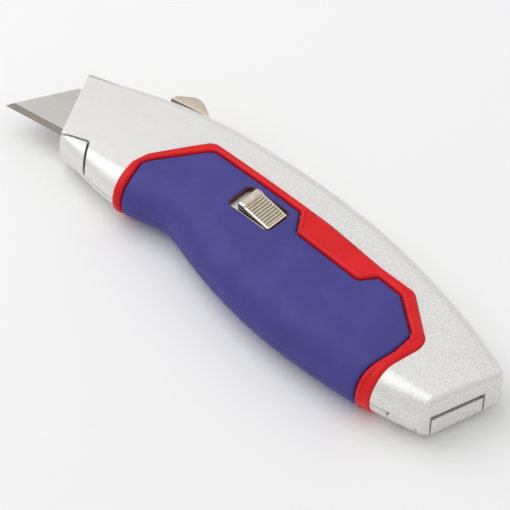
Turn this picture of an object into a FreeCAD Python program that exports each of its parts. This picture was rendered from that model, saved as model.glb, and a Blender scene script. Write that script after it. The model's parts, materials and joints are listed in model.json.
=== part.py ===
"""Retractable utility knife with a swing-open body, built as separate sub-parts.

The knife lies on its far side.  It is drawn in a design frame (millimetres) and then moved:
  +X  from the nose to the butt, with the nose face near x = 0
  +Y  from the cutting edge of the blade to the spine, with the cutting edge at y = 0
  +Z  up, from the far half (base) to the near half (cover), with the blade's mid-plane at z = 0
The base carries the blade carriage and the spare blades.  The cover is hinged to it on a pin
along the butt and carries the release slider.
"""
import FreeCAD, Part
import math
import os
import Sketcher
from FreeCAD import Placement, Rotation, Vector

doc = FreeCAD.newDocument("UtilityKnife")
sheet = doc.addObject("Spreadsheet::Sheet", "Sizes")

# ---------------------------------------------------------------- driving sizes (mm, degrees)

SIZES = {
    # body shell
    "wall": 2.4,
    "recess": 1.4,
    "grip_rise": 0.8,
    "trim_rise": 1.0,
    "side_crown": 0.6,
    "spine_crown": 0.25,
    "part_gap": 0.3,
    "chin_gap": 0.85,
    "cavity_half": 5.6,
    "cavity_top": 25.4,
    "rest_plane": 9.1,
    "nose_round": 0.5,
    "butt_round": 2.2,
    # butt: end face and hinge
    "butt_x": 152.9,
    "butt_y": -28.3,
    "butt_turn": 25.86,
    "hinge_inset": 1.9,
    "hinge_drop": 3.3,
    "ear_radius": 6.7,
    "tab_radius": 1.7,
    "tab_plate": 0.5,
    "notch_rise": 4.9,
    "tab_start": 2.2,
    "tab_end": 19.0,
    "tab_side_gap": 0.6,
    "tab_rise": 3.7,
    "pin_radius": 1.0,
    "pin_clearance": 0.05,
    # blade
    "blade_length": 61.0,
    "blade_back": 33.0,
    "blade_width": 19.0,
    "blade_half": 0.3,
    "blade_bevel": 2.4,
    "blade_out": 21.0,
    "notch_radius": 1.5,
    "notch_depth": 3.1,
    "notch_pitch": 12.7,
    # carriage
    "carrier_half": 2.3,
    "carrier_low": -1.6,
    "carrier_high": 22.0,
    "carrier_rear": 50.0,
    "travel": 26.0,
    # thumb slider
    "thumb_front": 21.6,
    "thumb_rear": 36.0,
    "thumb_base": 29.35,
    "thumb_top": 34.2,
    "thumb_half": 4.75,
    "channel_floor": 26.6,
    "channel_half": 5.2,
    "stem_front": 27.0,
    "stem_rear": 32.0,
    "stem_half": 1.5,
    # release window, in its own frame: along the body, across it
    "window_x": 73.2,
    "window_y": 3.85,
    "window_turn": -8.3,
    "window_long": 16.2,
    "window_wide": 9.2,
    "liner": 0.5,
    "tray_rim": 0.25,
    "tray_low": 6.7,
    "tray_floor": 7.2,
    "tray_bar": 8.9,
    "guide_thick": 0.5,
    "release_travel": 2.6,
    # spare blades
    "spare_x": 107.2,
    "spare_y": -5.8,
    "spare_turn": -20.0,
    # rivets and screws
    "rivet_radius": 0.9,
}

# Stations along the body: place, spine, belly, half thickness, belly rounding, spine edge radius.
STATIONS = (
    (-12.0, 21.5, -0.4, 5.0, 2.4, 2.6),
    (2.0, 25.0, -4.4, 5.6, 2.6, 2.8),
    (12.0, 26.9, -7.6, 6.0, 4.4, 3.0),
    (22.0, 28.3, -10.5, 6.5, 6.0, 3.0),
    (32.0, 29.0, -12.2, 7.1, 7.5, 3.2),
    (42.0, 29.2, -11.6, 7.6, 8.5, 3.4),
    (50.0, 28.8, -11.4, 8.0, 9.5, 3.6),
    (58.0, 28.2, -14.4, 8.3, 10.5, 3.8),
    (68.0, 27.1, -18.9, 8.6, 11.5, 4.0),
    (80.0, 25.5, -23.3, 8.7, 12.0, 4.0),
    (94.0, 23.0, -27.2, 8.7, 12.0, 4.0),
    (108.0, 19.7, -29.6, 8.7, 11.5, 4.0),
    (122.0, 15.3, -31.0, 8.6, 10.0, 4.0),
    (136.0, 10.0, -31.4, 8.4, 8.0, 4.0),
    (150.0, 3.9, -30.3, 8.1, 6.0, 4.0),
    (170.0, -6.2, -26.6, 7.8, 4.5, 4.0),
)
STATION_FIELDS = ("place", "spine", "belly", "half", "belly_round", "spine_round")


class Size:
    """A number from the sheet, with the expression that gives it."""

    def __init__(self, text, value):
        self.text = text
        self.value = value

    def join(self, sign, other, value):
        return Size(f"({self.text} {sign} {as_size(other).text})", value)

    def __add__(self, other):
        return self.join("+", other, self.value + number(other))

    def __sub__(self, other):
        return self.join("-", other, self.value - number(other))

    def __mul__(self, other):
        return self.join("*", other, self.value * number(other))

    def __truediv__(self, other):
        return self.join("/", other, self.value / number(other))

    def __neg__(self):
        return Size(f"(0 - {self.text})", -self.value)


def as_size(item):
    """Wraps a plain number, so that it can stand in an expression."""
    return item if isinstance(item, Size) else Size(repr(float(item)), float(item))


def number(item):
    """The value of a Size or of a plain number."""
    return item.value if isinstance(item, Size) else float(item)


def fill_sheet():
    """Writes every size, and the stations' table, to the spreadsheet under its alias."""
    rows = list(SIZES.items())
    for index, station in enumerate(STATIONS):
        for field, value in zip(STATION_FIELDS, station):
            rows.append((f"{field}_{chr(97 + index)}_", value))
    for row, (alias, value) in enumerate(rows, start=1):
        sheet.set(f"A{row}", alias)
        sheet.set(f"B{row}", str(value))
        sheet.setAlias(f"B{row}", alias)
    doc.recompute()


fill_sheet()
S = {alias: Size(f"Sizes.{alias}", float(sheet.get(alias))) for alias in SIZES}
N = {alias: float(sheet.get(alias)) for alias in SIZES}

nodes = {}


def keep(item, place=Placement()):
    """Registers a finished sub-part under its label, with its place in the design frame."""
    nodes[item.Label] = (item, place)
    return item


# ---------------------------------------------------------------- document helpers

def origin_plane(body, role):
    """One of a body's own origin planes."""
    return next(item for item in body.Origin.OriginFeatures if item.Role == role)


def sketch_on(body, name, height, role="XY_Plane"):
    """An empty sketch in a body, at a height above one of its planes."""
    sketch = body.newObject("Sketcher::SketchObject", name)
    sketch.AttachmentSupport = [(origin_plane(body, role), "")]
    sketch.MapMode = "FlatFace"
    sketch.AttachmentOffset = Placement(Vector(0, 0, number(height)), Rotation())
    if isinstance(height, Size):
        sketch.setExpression("AttachmentOffset.Base.z", height.text)
    return sketch


def pin_point(sketch, line, end, across, up):
    """Fixes one end of a line at its coordinates, bound to the sheet where they are sizes."""
    for kind, item in (("DistanceX", across), ("DistanceY", up)):
        index = sketch.addConstraint(Sketcher.Constraint(kind, -1, 1, line, end, number(item)))
        if isinstance(item, Size):
            sketch.setExpression(f"Constraints[{index}]", item.text)


def draw_polygon(sketch, points):
    """A closed outline of straight lines through points given as sizes or numbers."""
    first = sketch.GeometryCount
    count = len(points)
    for index in range(count):
        start, stop = points[index], points[(index + 1) % count]
        sketch.addGeometry(Part.LineSegment(
            Vector(number(start[0]), number(start[1]), 0),
            Vector(number(stop[0]), number(stop[1]), 0)), False)
    for index in range(count):
        following = first + (index + 1) % count
        sketch.addConstraint(Sketcher.Constraint("Coincident", first + index, 2, following, 1))
    for index, (across, up) in enumerate(points):
        pin_point(sketch, first + index, 1, across, up)


def draw_circle(sketch, across, up, radius):
    """A circle at a place, with its radius bound to the sheet."""
    line = sketch.addGeometry(Part.Circle(
        Vector(number(across), number(up), 0), Vector(0, 0, 1), number(radius)), False)
    index = sketch.addConstraint(Sketcher.Constraint("Radius", line, number(radius)))
    if isinstance(radius, Size):
        sketch.setExpression(f"Constraints[{index}]", radius.text)
    pin_point(sketch, line, 3, across, up)


def new_body(label):
    body = doc.addObject("PartDesign::Body", label)
    body.Label = label
    return body


def add_pad(body, name, draw, low, high):
    """A pad between two heights; draw(sketch) makes its outline."""
    sketch = sketch_on(body, f"{name}_outline", low)
    draw(sketch)
    pad = body.newObject("PartDesign::Pad", name)
    pad.Profile = sketch
    span = as_size(high) - low
    pad.Length = span.value
    pad.setExpression("Length", span.text)
    return pad


def add_pocket(body, name, draw, low, high):
    """A pocket cut down from one height to another; draw(sketch) makes its outline."""
    doc.recompute()
    before = body.Shape.Volume
    sketch = sketch_on(body, f"{name}_outline", high)
    draw(sketch)
    pocket = body.newObject("PartDesign::Pocket", name)
    pocket.Profile = sketch
    span = as_size(high) - low
    pocket.Length = span.value
    pocket.setExpression("Length", span.text)
    doc.recompute()
    if body.Shape.Volume >= before - 1e-6:
        raise RuntimeError(f"{name} cuts nothing")
    return pocket


def polygon(*points):
    """A drawing function for a closed outline."""
    return lambda sketch: draw_polygon(sketch, points)


def rectangle(left, right, low, high):
    return polygon((left, low), (right, low), (right, high), (left, high))


def circle(across, up, radius):
    return lambda sketch: draw_circle(sketch, across, up, radius)


def padded(label, draw, low, high, place=Placement()):
    """A sub-part that is one pad."""
    body = new_body(label)
    add_pad(body, f"{label}_pad", draw, low, high)
    return keep(body, place)


def turned(label, profile, place=Placement()):
    """A sub-part turned about its own Z axis, from (radius, height) points."""
    body = new_body(label)
    sketch = sketch_on(body, f"{label}_profile", 0, "XZ_Plane")
    draw_polygon(sketch, profile)
    turn = body.newObject("PartDesign::Revolution", f"{label}_turn")
    turn.Profile = sketch
    turn.ReferenceAxis = (sketch, ["V_Axis"])
    turn.Angle = 360
    return keep(body, place)


def rivet(label, at, shank_end, neck, head_end, frame=Placement()):
    """A flat-headed rivet or screw along Z: its shank's end, its neck and its head's end."""
    radius = S["rivet_radius"]
    head = radius * 1.9
    profile = ((0, shank_end), (radius, shank_end), (radius, neck), (head, neck),
               (head, head_end), (0, head_end))
    return turned(label, profile, frame * Placement(Vector(*at, 0), Rotation()))


def drill(body, name, across, up):
    """A rivet's hole right through a body, along its own Y axis."""
    doc.recompute()
    sketch = sketch_on(body, f"{name}_outline", 0, "XZ_Plane")
    draw_circle(sketch, across, up, S["rivet_radius"])
    hole = body.newObject("PartDesign::Pocket", name)
    hole.Profile = sketch
    hole.Type = "ThroughAll"
    hole.SideType = "Symmetric"


def feature(label, shape, place=Placement()):
    """A sub-part whose shape Part's functions made from the sheet's sizes."""
    item = doc.addObject("Part::Feature", label)
    item.Label = label
    item.Shape = shape
    return keep(item, place)


# ---------------------------------------------------------------- shape helpers

def rounded_wire(corners, height=0.0):
    """A closed flat wire through (x, y, radius) corners, with each corner an arc."""
    count = len(corners)
    ends = []
    for index, (x, y, radius) in enumerate(corners):
        here = Vector(x, y, height)
        before = (Vector(*corners[index - 1][:2], height) - here).normalize()
        after = (Vector(*corners[(index + 1) % count][:2], height) - here).normalize()
        half = before.getAngle(after) / 2
        reach = radius / math.tan(half)
        middle = here + (before + after).normalize() * (radius / math.sin(half) - radius)
        ends.append((here + before * reach, middle, here + after * reach, radius))
    edges = []
    for index, (start, middle, stop, radius) in enumerate(ends):
        if radius > 0:
            edges.append(Part.Arc(start, middle, stop).toShape())
        edges.append(Part.LineSegment(stop, ends[(index + 1) % count][0]).toShape())
    return Part.Wire(edges)


def prism(corners, low=-20.0, high=20.0):
    """A solid with a rounded outline between two heights."""
    face = Part.Face(rounded_wire(corners, low))
    return face.extrude(Vector(0, 0, high - low))


def slab(x0, x1, y0, y1, z0, z1):
    return Part.makeBox(x1 - x0, y1 - y0, z1 - z0, Vector(x0, y0, z0))


def grown(corners, margin):
    """The same corners moved outwards from the outline by a margin."""
    count = len(corners)
    area = sum(corners[i - 1][0] * corners[i][1] - corners[i][0] * corners[i - 1][1]
               for i in range(count))
    side = 1 if area > 0 else -1
    moved = []
    for index, (x, y, radius) in enumerate(corners):
        here = Vector(x, y, 0)
        into = (here - Vector(*corners[index - 1][:2], 0)).normalize()
        out = (Vector(*corners[(index + 1) % count][:2], 0) - here).normalize()
        normals = Vector(into.y, -into.x, 0) * side, Vector(out.y, -out.x, 0) * side
        mid = (normals[0] + normals[1]).normalize()
        reach = margin / mid.dot(normals[0])
        moved.append((x + mid.x * reach, y + mid.y * reach, max(radius + margin, 0.0)))
    return moved


def bezier(points, round_weight=False):
    """A three-point curve: an exact quarter ellipse, or a parabola."""
    curve = Part.BSplineCurve()
    weights = [1.0, math.sqrt(0.5) if round_weight else 1.0, 1.0]
    curve.buildFromPolesMultsKnots(points, [3, 3], [0.0, 1.0], False, 2, weights)
    return curve.toShape()


def section(station, offset):
    """One cross-section of the body, as seven smooth arcs, inset by an offset."""
    place, spine, belly, half, belly_round, spine_round = station
    top = spine - offset
    bottom = belly + offset
    wide = half - offset
    shoulder = wide - N["side_crown"]
    rise = max(belly_round - offset, 1.0)
    edge = max(spine_round - offset * 0.8, 0.8)
    crown = top + N["spine_crown"]

    def side(sign):
        foot = Vector(place, bottom + rise, sign * wide)
        neck = Vector(place, top - edge, sign * shoulder)
        ridge = Vector(place, top, sign * (shoulder - edge))
        return (
            ([Vector(place, bottom, 0), Vector(place, bottom, sign * wide), foot], True),
            ([foot, Vector(place, (foot.y + neck.y) / 2, sign * wide), neck], False),
            ([neck, Vector(place, top, sign * shoulder), ridge], True),
        )

    near, far = side(1), side(-1)
    ridge = near[2][0][2], Vector(place, crown, 0), far[2][0][2]
    edges = [bezier(points, weight) for points, weight in near]
    edges.append(bezier(list(ridge)))
    edges.extend(bezier(points[::-1], weight) for points, weight in far[::-1])
    return Part.Wire(edges)


def body_loft(offset):
    """The whole body's volume, inset by an offset, past both of its ends."""
    return Part.makeLoft([section(station, offset) for station in STATIONS], True)


def hinge_frame():
    """Frame at the hinge: local X out of the butt, local Y along the pin towards the spine."""
    turn = -N["butt_turn"]
    rotation = Rotation(Vector(0, 0, 1), turn)
    corner = Vector(N["butt_x"], N["butt_y"], 0)
    inset = rotation.multVec(Vector(-N["hinge_inset"], 0, 0))
    return Placement(corner + inset + Vector(0, 0, -N["hinge_drop"]), rotation)


def in_frame(shape, frame):
    """A copy of a shape drawn in a local frame, put in its place."""
    moved = shape.copy()
    moved.Placement = frame * moved.Placement
    return moved


HINGE = hinge_frame()
WINDOW = Placement(Vector(N["window_x"], N["window_y"], 0),
                   Rotation(Vector(0, 0, 1), N["window_turn"]))
SPARES = Placement(Vector(N["spare_x"], N["spare_y"], 0),
                   Rotation(Vector(0, 0, 1), N["spare_turn"]))
HALF_GAP = N["part_gap"] / 2

# ---------------------------------------------------------------- outlines on the body's side

NOSE_TOP = (-7.4, 27.0)
NOSE_FOOT = (4.9, -5.6)


def butt_point(along):
    """A point on the end face's line, at a distance from its lower near corner."""
    turn = math.radians(N["butt_turn"])
    return N["butt_x"] + along * math.sin(turn), N["butt_y"] + along * math.cos(turn)


# The end face's line, from past the belly to past the spine.
BUTT_FOOT = butt_point(-2.9)
BUTT_TOP = butt_point(27.6)

BODY_OUTLINE = (
    (NOSE_TOP[0], NOSE_TOP[1], 0), (NOSE_FOOT[0], NOSE_FOOT[1], 1.2), (14.0, -40.0, 0),
    (146.0, -40.0, 0), (BUTT_FOOT[0], BUTT_FOOT[1], 2.0), (BUTT_TOP[0], BUTT_TOP[1], 5.0),
    (146.0, 5.6, 0), (120.0, 40.0, 0), (-7.4, 40.0, 0),
)
# The base's chin and brow pass over the parting plane at the nose.
CHIN = (
    (-4.0, -4.1, 0), (4.3, -3.8, 0), (13.3, -2.0, 0.8), (14.9, -5.4, 2.0), (17.0, -9.8, 2.0),
    (19.6, -11.4, 0), (22.0, -20.0, 0), (-4.0, -20.0, 0),
)
BROW = ((-12.0, 21.2, 0), (4.6, 23.8, 1.5), (9.4, 30.0, 0), (-12.0, 30.0, 0))
# The red trim's outer and inner edges; both pass under the belly.
TRIM_OUTER = (
    (31.6, -40.0, 0), (30.3, -6.0, 3.0), (29.9, -1.4, 3.0), (31.9, 3.9, 3.0), (44.9, 18.4, 2.6),
    (47.4, 18.95, 2.6), (93.4, 11.4, 60.0), (115.7, 5.9, 30.0), (127.9, 4.1, 4.0),
    (140.3, -9.2, 4.0), (140.6, -12.6, 5.0), (137.3, -22.4, 12.0), (135.6, -40.0, 0),
)
TRIM_INNER = (
    (34.6, -40.0, 0), (33.6, -6.6, 3.0), (32.6, -0.4, 3.0), (34.0, 2.0, 3.0), (46.9, 15.0, 2.0),
    (48.9, 15.95, 2.0), (83.9, 10.2, 1.8), (87.7, 2.6, 2.2), (112.3, -2.0, 2.4),
    (116.6, 2.5, 1.6), (125.6, 0.6, 3.0), (136.2, -10.2, 3.5), (135.3, -18.2, 8.0),
    (132.0, -28.4, 10.0), (130.4, -40.0, 0),
)


def window_corners(margin):
    """The release window's outline, in the window's frame."""
    along = N["window_long"] / 2 + margin
    across = N["window_wide"] / 2 + margin
    radius = 1.6 + margin
    return ((-along, -across, radius), (along, -across, radius), (along, across, radius),
            (-along, across, radius))


def window_hole(margin, low=0.0, high=20.0):
    return in_frame(prism(window_corners(margin), low, high), WINDOW)


# ---------------------------------------------------------------- casings



def edges_along(shape, start, stop):
    """The edges of a shape that lie in the upright plane through two (x, y) points."""
    origin = Vector(*start, 0)
    across = Vector(stop[1] - start[1], start[0] - stop[0], 0).normalize()

    def lies(edge):
        middle = edge.valueAt((edge.FirstParameter + edge.LastParameter) / 2)
        points = [vertex.Point for vertex in edge.Vertexes] + [middle]
        return all(abs((point - origin).dot(across)) < 1e-3 for point in points)

    return [edge for edge in shape.Edges if lies(edge)]


def make_skin():
    """The body's outer volume, trimmed to its outline, with its end faces' edges rounded."""
    solid = body_loft(0.0).common(prism(BODY_OUTLINE))
    solid = solid.makeFillet(N["nose_round"], edges_along(solid, NOSE_TOP, NOSE_FOOT))
    return solid.makeFillet(N["butt_round"], edges_along(solid, BUTT_FOOT, BUTT_TOP))


SKIN = make_skin()
SEAT = body_loft(N["recess"])
UPPER = slab(-40, 200, -60, 60, HALF_GAP, 30)
ABOVE_BASE = slab(-40, 200, -60, 60, -HALF_GAP, 30)


def cavity():
    """The hollow inside both halves: flat floor and roof, clear of the nose and the hinge."""
    inner = body_loft(N["wall"])
    half = N["cavity_half"]
    room = prism(((-1.9, 23.0, 0), (9.6, -7.4, 0), (14.0, -40.0, 0), (146.0, -40.0, 0),
                  (146.0, 10.0, 0), (120.0, N["cavity_top"], 0), (-2.8, N["cavity_top"], 0)),
                 -half, half)
    butt_wall = in_frame(slab(-10.5, 40, -40, 80, -30, 30), HINGE)
    return inner.common(room).cut(butt_wall)


def thumb_channel():
    """The sunk track of the thumb slider in the spine, and the slot for its stem."""
    half = N["channel_half"]
    front = N["thumb_front"] - 0.6
    rear = N["thumb_rear"] + N["travel"] + 1.6
    track = prism(((front, -half, 1.5), (rear, -half, 1.5), (rear, half, 1.5),
                   (front, half, 1.5)), 0, 12)
    upright = Placement(Vector(0, N["channel_floor"], 0), Rotation(Vector(1, 0, 0), -90))
    slit_half = N["stem_half"] + 0.35
    slit = slab(N["stem_front"] - 0.6, N["stem_rear"] + N["travel"] + 0.6,
                N["cavity_top"] - 1, N["channel_floor"] + 1, -slit_half, slit_half)
    return in_frame(track, upright).fuse(slit)


def blade_slot():
    """The slot in the nose face that the blade runs through."""
    return slab(-14, 10, -0.4, N["blade_width"] + 0.4, -0.6, 0.6)


def hinge_cylinder(radius, low, high):
    """A cylinder round the hinge pin, between two places along it."""
    drum = Part.makeCylinder(radius, high - low, Vector(0, low, 0), Vector(0, 1, 0))
    return in_frame(drum, HINGE)


def hinge_slab(s0, s1, t0, t1, z0, z1):
    """A box in the hinge's frame: out of the butt, along the pin, and above the pin."""
    return in_frame(slab(s0, s1, t0, t1, z0, z1), HINGE)


def ribs(boxes):
    """Ribs that grow out of the shell's inner face."""
    root = body_loft(N["wall"] - 0.6)
    joined = slab(*boxes[0])
    for box in boxes[1:]:
        joined = joined.fuse(slab(*box))
    return joined.common(root)


HOLLOW = cavity()
OPENINGS = thumb_channel().fuse(blade_slot())
RECESS = prism(TRIM_OUTER).cut(SEAT)
HOLLOW_SHELL = SKIN.cut(RECESS).cut(HOLLOW).cut(OPENINGS)

# Where the hinge's tab stands between the cover's two ears, along the pin.
TAB_LOW, TAB_HIGH = N["tab_start"], N["tab_end"]
ALONG_LOW, ALONG_HIGH = -30.0, 60.0

# Screws and rivets: place in their frame, and the hole in the casing that takes each.
GUIDE_RIVETS = ((-10.4, 3.4), (-10.4, -3.4), (10.4, 3.4), (10.4, -3.4))
RAIL_RIVETS = ((24.0, 24.45), (59.0, 24.45))
RIVET_RADIUS = N["rivet_radius"]
HEAD_CLEAR = RIVET_RADIUS * 1.9 + 0.2
CATCH_SCREW = (7.4, -12.4)
# The slot that the release button's stem runs in: its two ends and its half width.
GUIDE_SLOT = (-2.3 - N["release_travel"], 2.3, 1.85)
CLIP_SCREW = (0.0, 13.0)
SPRING_RIVET = (22.0, 9.5)


def make_base_casing():
    """The far half: shell, chin and brow at the nose, ribs, and the hinge's tab at the butt."""
    above = ABOVE_BASE.cut(prism(CHIN)).cut(prism(BROW))
    shell = HOLLOW_SHELL.cut(above)
    relief = -N["ear_radius"] - N["part_gap"]
    for low, high in ((ALONG_LOW, TAB_LOW), (TAB_HIGH, ALONG_HIGH)):
        shell = shell.cut(hinge_slab(relief, 40, low, high, -30, 30))
    shell = shell.cut(hinge_slab(0, 40, TAB_LOW, TAB_HIGH, N["tab_rise"], 30))
    plate = N["hinge_inset"] - N["tab_plate"]
    shell = shell.cut(hinge_slab(-2.6, plate, TAB_LOW, TAB_HIGH, 0, 30))
    knuckle = hinge_cylinder(N["tab_radius"], TAB_LOW, TAB_HIGH)
    knuckle = knuckle.common(SKIN)
    floor = N["carrier_half"] + 0.3
    rib_boxes = (
        (10.0, 76.0, 3.0, 4.6, -8.0, -floor),
        (10.0, 76.0, 15.0, 16.6, -8.0, -floor),
        (10.0, 76.0, N["carrier_low"] - 1.8, N["carrier_low"] - 0.3, -8.0, -0.5),
        (16.0, 74.0, N["carrier_high"] + 0.3, N["carrier_high"] + 0.8, -8.0, -1.85),
        (RAIL_RIVETS[0][0] - 2.0, RAIL_RIVETS[0][0] + 2.0, 22.3, 25.6, -8.0, -4.4),
        (RAIL_RIVETS[1][0] - 2.0, RAIL_RIVETS[1][0] + 2.0, 22.3, 25.6, -8.0, -4.4),
    )
    shell = shell.fuse(ribs(rib_boxes)).fuse(knuckle)
    shell = shell.cut(slab(21.3, 61.3, 23.0, N["cavity_top"], -4.4, 0.0))
    shell = shell.cut(hinge_cylinder(N["pin_radius"], ALONG_LOW, ALONG_HIGH))
    for x, y in RAIL_RIVETS:
        shell = shell.cut(Part.makeCylinder(RIVET_RADIUS, 1.8, Vector(x, y, -6.2)))
        shell = shell.cut(Part.makeCylinder(HEAD_CLEAR, 4.4, Vector(x, y, -4.4)))
    holes = ((WINDOW, CATCH_SCREW), (SPARES, CLIP_SCREW))
    for frame, (x, y) in holes:
        hole = Part.makeCylinder(RIVET_RADIUS, 1.2, Vector(x, y, -N["cavity_half"] - 1.2))
        shell = shell.cut(in_frame(hole, frame))
    return feature("base_casing", shell.removeSplitter())


def make_cover_casing():
    """The near half: shell, window, ribs, and two ears round the hinge pin."""
    clear = N["part_gap"]
    zone = UPPER.cut(prism(grown(CHIN, N["chin_gap"]))).cut(prism(grown(BROW, clear)))
    shell = HOLLOW_SHELL.common(zone)
    notch_low, notch_high = TAB_LOW - N["tab_side_gap"], TAB_HIGH + N["tab_side_gap"]
    shell = shell.cut(hinge_slab(-3.2, 40, notch_low, notch_high, -30, N["notch_rise"]))
    shell = shell.cut(window_hole(N["liner"], N["cavity_half"] - 1))
    for low, high in ((ALONG_LOW, notch_low), (notch_high, ALONG_HIGH)):
        ear = hinge_cylinder(N["ear_radius"], low, high)
        ear = ear.fuse(hinge_slab(0, 20, low, high, 0, N["hinge_drop"] + 1))
        shell = shell.fuse(ear.common(SKIN))
    boss = Part.makeCylinder(2.6, 8, Vector(SPRING_RIVET[0], SPRING_RIVET[1], 1.05))
    hold = N["carrier_half"] + 0.3
    rib_boxes = (
        (16.0, 74.0, 20.0, 21.4, hold, 9.0),
        (34.0, 58.0, 4.0, 5.4, hold, 9.0),
    )
    shell = shell.fuse(ribs(rib_boxes)).fuse(boss.common(body_loft(N["wall"] - 0.6)))
    shell = shell.cut(hinge_cylinder(N["pin_radius"] + N["pin_clearance"], -2.5, 60))
    shell = shell.cut(Part.makeCylinder(RIVET_RADIUS, 2.0, Vector(*SPRING_RIVET, 1.05)))
    for u, v in GUIDE_RIVETS:
        hole = Part.makeCylinder(RIVET_RADIUS, 1.2, Vector(u, v, N["cavity_half"]))
        shell = shell.cut(in_frame(hole, WINDOW))
    return feature("cover_casing", shell.removeSplitter())


# ---------------------------------------------------------------- grips and trim

def half_of(shape, near):
    """The part of a skin on one side of the parting plane, down to the plane it rests on."""
    if near:
        return shape.common(UPPER)
    below = slab(-40, 200, -60, 60, -N["rest_plane"], -HALF_GAP)
    return shape.common(below)


def make_skins():
    """The rubber grips and the trim round them, on both halves."""
    trim_gap = 0.25
    grip_outline = prism(grown(TRIM_INNER, -trim_gap))
    grip = body_loft(-N["grip_rise"]).cut(SEAT).common(grip_outline)
    ring = prism(TRIM_OUTER).cut(prism(TRIM_INNER))
    trim = body_loft(-N["trim_rise"]).cut(SEAT).common(ring)
    feature("base_grip", half_of(grip, False))
    feature("base_trim", half_of(trim, False))
    feature("cover_grip", half_of(grip, True).cut(window_hole(N["liner"])))
    feature("cover_trim", half_of(trim, True))


def window_ring(outer, inner, low, high):
    """A frame that follows the window's outline, between two margins."""
    return prism(window_corners(outer), low, high).cut(
        prism(window_corners(inner), low - 1, high + 1))


def make_window():
    """The thin frame that lines the release window, and the tray under the button."""
    liner = window_ring(N["liner"], N["tray_rim"], N["cavity_half"], 9.0)
    feature("window_liner", liner, WINDOW)
    tray = prism(window_corners(N["tray_rim"]), N["tray_low"], N["tray_floor"])
    edge, reach = N["window_wide"] / 2, N["window_long"] / 2 - 1.2
    tray = tray.fuse(slab(-reach, reach, -edge - N["tray_rim"], -edge, N["tray_low"],
                          N["tray_bar"]))
    slit = GUIDE_SLOT
    tray = tray.cut(slab(slit[0], slit[1], -slit[2], slit[2], 0, 20))
    feature("window_tray", tray, WINDOW)


# ---------------------------------------------------------------- blade carriage

def blade_outline(tip_x):
    """The blade's trapezoid, from its tip along the cutting edge."""
    slope = (S["blade_length"] - S["blade_back"]) / 2
    rear = S["blade_length"] + tip_x
    return ((as_size(tip_x), 0.0), (rear, 0.0), (rear - slope, S["blade_width"]),
            (slope + tip_x, S["blade_width"]))


def make_blade(label, tip_x, low, place=Placement()):
    """A trapezoid blade with a bevelled cutting edge and two notches in its back."""
    body = new_body(label)
    low = as_size(low)
    high = low + S["blade_half"] * 2
    add_pad(body, f"{label}_plate", polygon(*blade_outline(tip_x)), low, high)
    for side, offset in (("front", -0.5), ("rear", 0.5)):
        middle = S["blade_length"] / 2 + tip_x + S["notch_pitch"] * offset
        draw = rectangle(middle - S["notch_radius"], middle + S["notch_radius"],
                         S["blade_width"] - S["notch_depth"], S["blade_width"] + 1)
        add_pocket(body, f"{label}_notch_{side}", draw, low, high)
    middle = low + S["blade_half"]
    for side, face, edge in (("near", high, middle + 0.03), ("far", low, middle - 0.03)):
        sketch = sketch_on(body, f"{label}_bevel_{side}_outline", 0, "YZ_Plane")
        draw_polygon(sketch, ((0.0, edge), (S["blade_bevel"], face), (0.0, face)))
        bevel = body.newObject("PartDesign::Pocket", f"{label}_bevel_{side}")
        bevel.Profile = sketch
        bevel.Type = "ThroughAll"
        bevel.SideType = "Symmetric"
    return keep(body, place)


def make_carrier():
    """The sled that holds the blade, with a well for the thumb slider's stem and spring."""
    body = new_body("blade_carrier")
    half, low, high = S["carrier_half"], S["carrier_low"], S["carrier_high"]
    width, rear = S["blade_width"], S["carrier_rear"]
    add_pad(body, "carrier_plate", polygon(
        (7.8, low), (rear, low), (rear, high), (18.0, high), (14.0, high - 1.4),
        (-0.55, high - 1.4)), -half, half)
    gap = 0.1
    slope = (S["blade_length"] - S["blade_back"]) / 2
    blade_rear = S["blade_length"] - S["blade_out"]
    add_pocket(body, "blade_seat", polygon(
        (-9.0, low - 1), (blade_rear + gap + 0.8, low - 1), (blade_rear + gap, 0.0),
        (blade_rear - slope + gap, width + gap), (-9.0, width + gap)),
        -S["blade_half"], half + 0.01)
    stem_gap = 0.3
    deck = S["stem_half"] + stem_gap
    add_pocket(body, "stem_well", rectangle(
        S["stem_front"] - stem_gap, S["stem_rear"] + stem_gap, width + gap + 0.2, high + 1),
        -deck, deck)
    add_pocket(body, "spring_well", rectangle(29.1, 32.3, 15.5, width + 1), -deck, deck)
    add_pocket(body, "magnet_hole", circle(20.0, 9.0, 3.0), -half, 0)
    return keep(body)


def make_thumb_slider():
    """The button on the spine: a ribbed hump, its stem and its detent tooth."""
    body = new_body("thumb_slider")
    front, rear, base = S["thumb_front"], S["thumb_rear"], S["thumb_base"]
    half = S["thumb_half"]
    top = S["thumb_top"]
    add_pad(body, "thumb_hump", polygon(
        (front, base), (rear, base), (rear, top - 4.0), (34.6, top - 2.5), (33.4, top - 1.6),
        (31.9, top - 0.8), (30.4, top - 0.2), (29.0, top), (27.4, top - 0.2),
        (25.6, top - 1.0), (24.0, top - 1.9), (22.6, top - 2.8), (front, top - 3.6)),
        -half, half)
    stem = S["stem_half"]
    add_pad(body, "thumb_stem", rectangle(S["stem_front"], S["stem_rear"], 20.5, base + 1),
            -stem, stem)
    add_pad(body, "thumb_tooth", rectangle(28.9, 30.1, 23.9, 24.5), -3.1, 0)
    return keep(body)


def coil(label, radius, wire, pitch, turns, place):
    """A coil spring along its own Z axis: a round wire swept along a helix."""
    path = Part.makeHelix(pitch, pitch * turns, radius)
    ring = Part.Wire([Part.Circle(Vector(radius, 0, 0), Vector(0, 1, 0), wire).toShape()])
    spring = Part.Wire(path).makePipeShell([ring], True, True)
    return feature(label, spring, place)


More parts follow.
